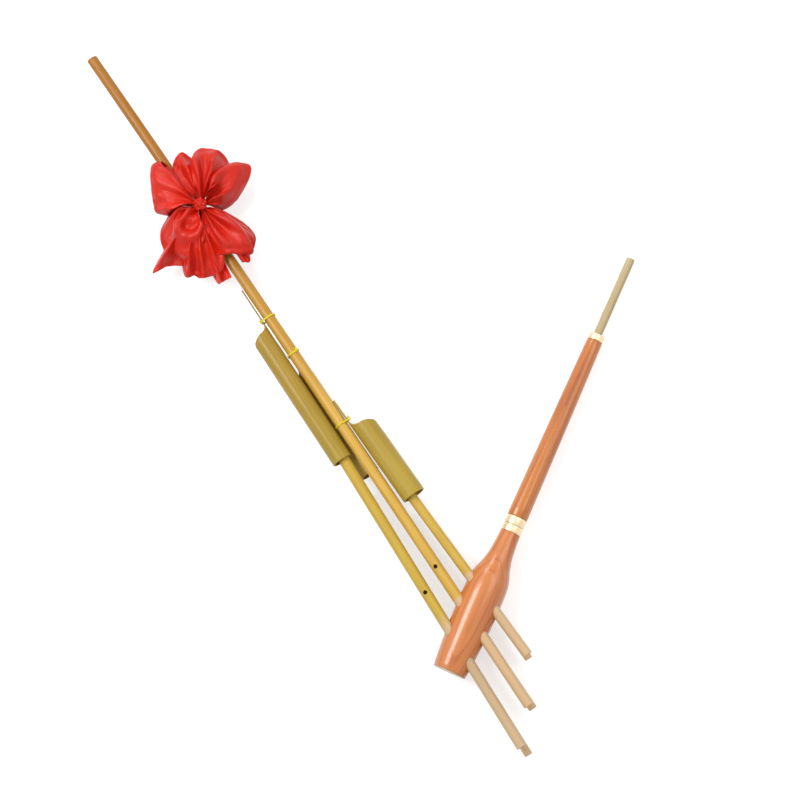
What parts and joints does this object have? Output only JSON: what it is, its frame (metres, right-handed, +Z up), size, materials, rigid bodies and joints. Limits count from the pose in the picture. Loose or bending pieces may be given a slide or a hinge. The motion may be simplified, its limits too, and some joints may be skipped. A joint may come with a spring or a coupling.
{
  "type": "lusheng",
  "caption": "Free-reed mouth organ with bamboo pipes through a wooden wind chest, tube resonators, a long blow pipe and a ribbon bow.",
  "frame": {"origin": "on the floor under the middle of the object's box, with the instrument lying on its back", "axes": "+Y along the long pipe towards its top, +X towards the blow pipe's side, +Z up through the front row of pipes"},
  "size_m": [0.5072, 1.0524, 0.0664],
  "materials": {
    "lacquered_wood": "clear gloss lacquer",
    "plug_wood": "bare",
    "satin_brass": "satin",
    "pale_tube": "matt",
    "bamboo": "polished skin",
    "olive_bamboo": "polished skin",
    "reed_brass": "filed",
    "yellow_string": "twisted string",
    "red_satin": "satin"
  },
  "bodies": {
    "frame": {"chamber_front_shell": "lacquered_wood", "chamber_rear_shell": "lacquered_wood", "tail_plug": "plug_wood", "neck_ferrule": "satin_brass", "tail_pipe_front": "bamboo", "long_pipe_front": "bamboo", "neck_pipe_front": "bamboo", "tail_pipe_rear": "bamboo", "middle_pipe_rear": "bamboo", "neck_pipe_rear": "bamboo", "tail_pipe_front_reed_plate": "reed_brass", "long_pipe_front_reed_plate": "reed_brass", "neck_pipe_front_reed_plate": "reed_brass", "tail_pipe_rear_reed_plate": "reed_brass", "middle_pipe_rear_reed_plate": "reed_brass", "neck_pipe_rear_reed_plate": "reed_brass", "tail_resonator": "olive_bamboo", "neck_resonator": "olive_bamboo", "rear_resonator": "olive_bamboo", "tie_upper": "yellow_string", "tie_middle": "yellow_string", "tie_lower": "yellow_string", "ribbon_band": "red_satin", "ribbon_upper": "red_satin", "ribbon_lower": "red_satin"},
    "blow_pipe_body": {"blow_pipe": "lacquered_wood", "blow_pipe_ferrule": "satin_brass", "tip_ferrule": "satin_brass"},
    "mouthpiece_body": {"mouthpiece_tube": "pale_tube"},
    "tail_pipe_front_reed": {"tail_pipe_front_reed_tongue": "reed_brass"},
    "long_pipe_front_reed": {"long_pipe_front_reed_tongue": "reed_brass"},
    "neck_pipe_front_reed": {"neck_pipe_front_reed_tongue": "reed_brass"},
    "tail_pipe_rear_reed": {"tail_pipe_rear_reed_tongue": "reed_brass"},
    "middle_pipe_rear_reed": {"middle_pipe_rear_reed_tongue": "reed_brass"},
    "neck_pipe_rear_reed": {"neck_pipe_rear_reed_tongue": "reed_brass"}
  },
  "joints": [
    {"name": "blow_pipe_slide", "type": "slide", "parent": "frame", "child": "blow_pipe_body", "axis": [0.8461, 0.5312, -0.0441], "range_m": [0, 0.045]},
    {"name": "mouthpiece_slide", "type": "slide", "parent": "blow_pipe_body", "child": "mouthpiece_body", "axis": [0.8461, 0.5312, -0.0441], "range_m": [0, 0.03]},
    {"name": "tail_pipe_front_reed_swing", "type": "hinge", "parent": "frame", "child": "tail_pipe_front_reed", "pos_m": [-0.19221, -0.37781, 0.03881], "axis": [-0.047, -0.008, -0.9989], "range_deg": [-3, 3], "stiffness_Nm_per_rad": 0.02},
    {"name": "long_pipe_front_reed_swing", "type": "hinge", "parent": "frame", "child": "long_pipe_front_reed", "pos_m": [-0.16076, -0.35798, 0.03717], "axis": [-0.047, -0.008, -0.9989], "range_deg": [-3, 3], "stiffness_Nm_per_rad": 0.02},
    {"name": "neck_pipe_front_reed_swing", "type": "hinge", "parent": "frame", "child": "neck_pipe_front_reed", "pos_m": [-0.13261, -0.3402, 0.03571], "axis": [-0.047, -0.008, -0.9989], "range_deg": [-3, 3], "stiffness_Nm_per_rad": 0.02},
    {"name": "tail_pipe_rear_reed_swing", "type": "hinge", "parent": "frame", "child": "tail_pipe_rear_reed", "pos_m": [-0.19323, -0.37795, 0.01884], "axis": [-0.047, -0.008, -0.9989], "range_deg": [-3, 3], "stiffness_Nm_per_rad": 0.02},
    {"name": "middle_pipe_rear_reed_swing", "type": "hinge", "parent": "frame", "child": "middle_pipe_rear_reed", "pos_m": [-0.16199, -0.3583, 0.01721], "axis": [-0.047, -0.008, -0.9989], "range_deg": [-3, 3], "stiffness_Nm_per_rad": 0.02},
    {"name": "neck_pipe_rear_reed_swing", "type": "hinge", "parent": "frame", "child": "neck_pipe_rear_reed", "pos_m": [-0.13496, -0.34129, 0.0158], "axis": [-0.047, -0.008, -0.9989], "range_deg": [-3, 3], "stiffness_Nm_per_rad": 0.02}
  ]
}
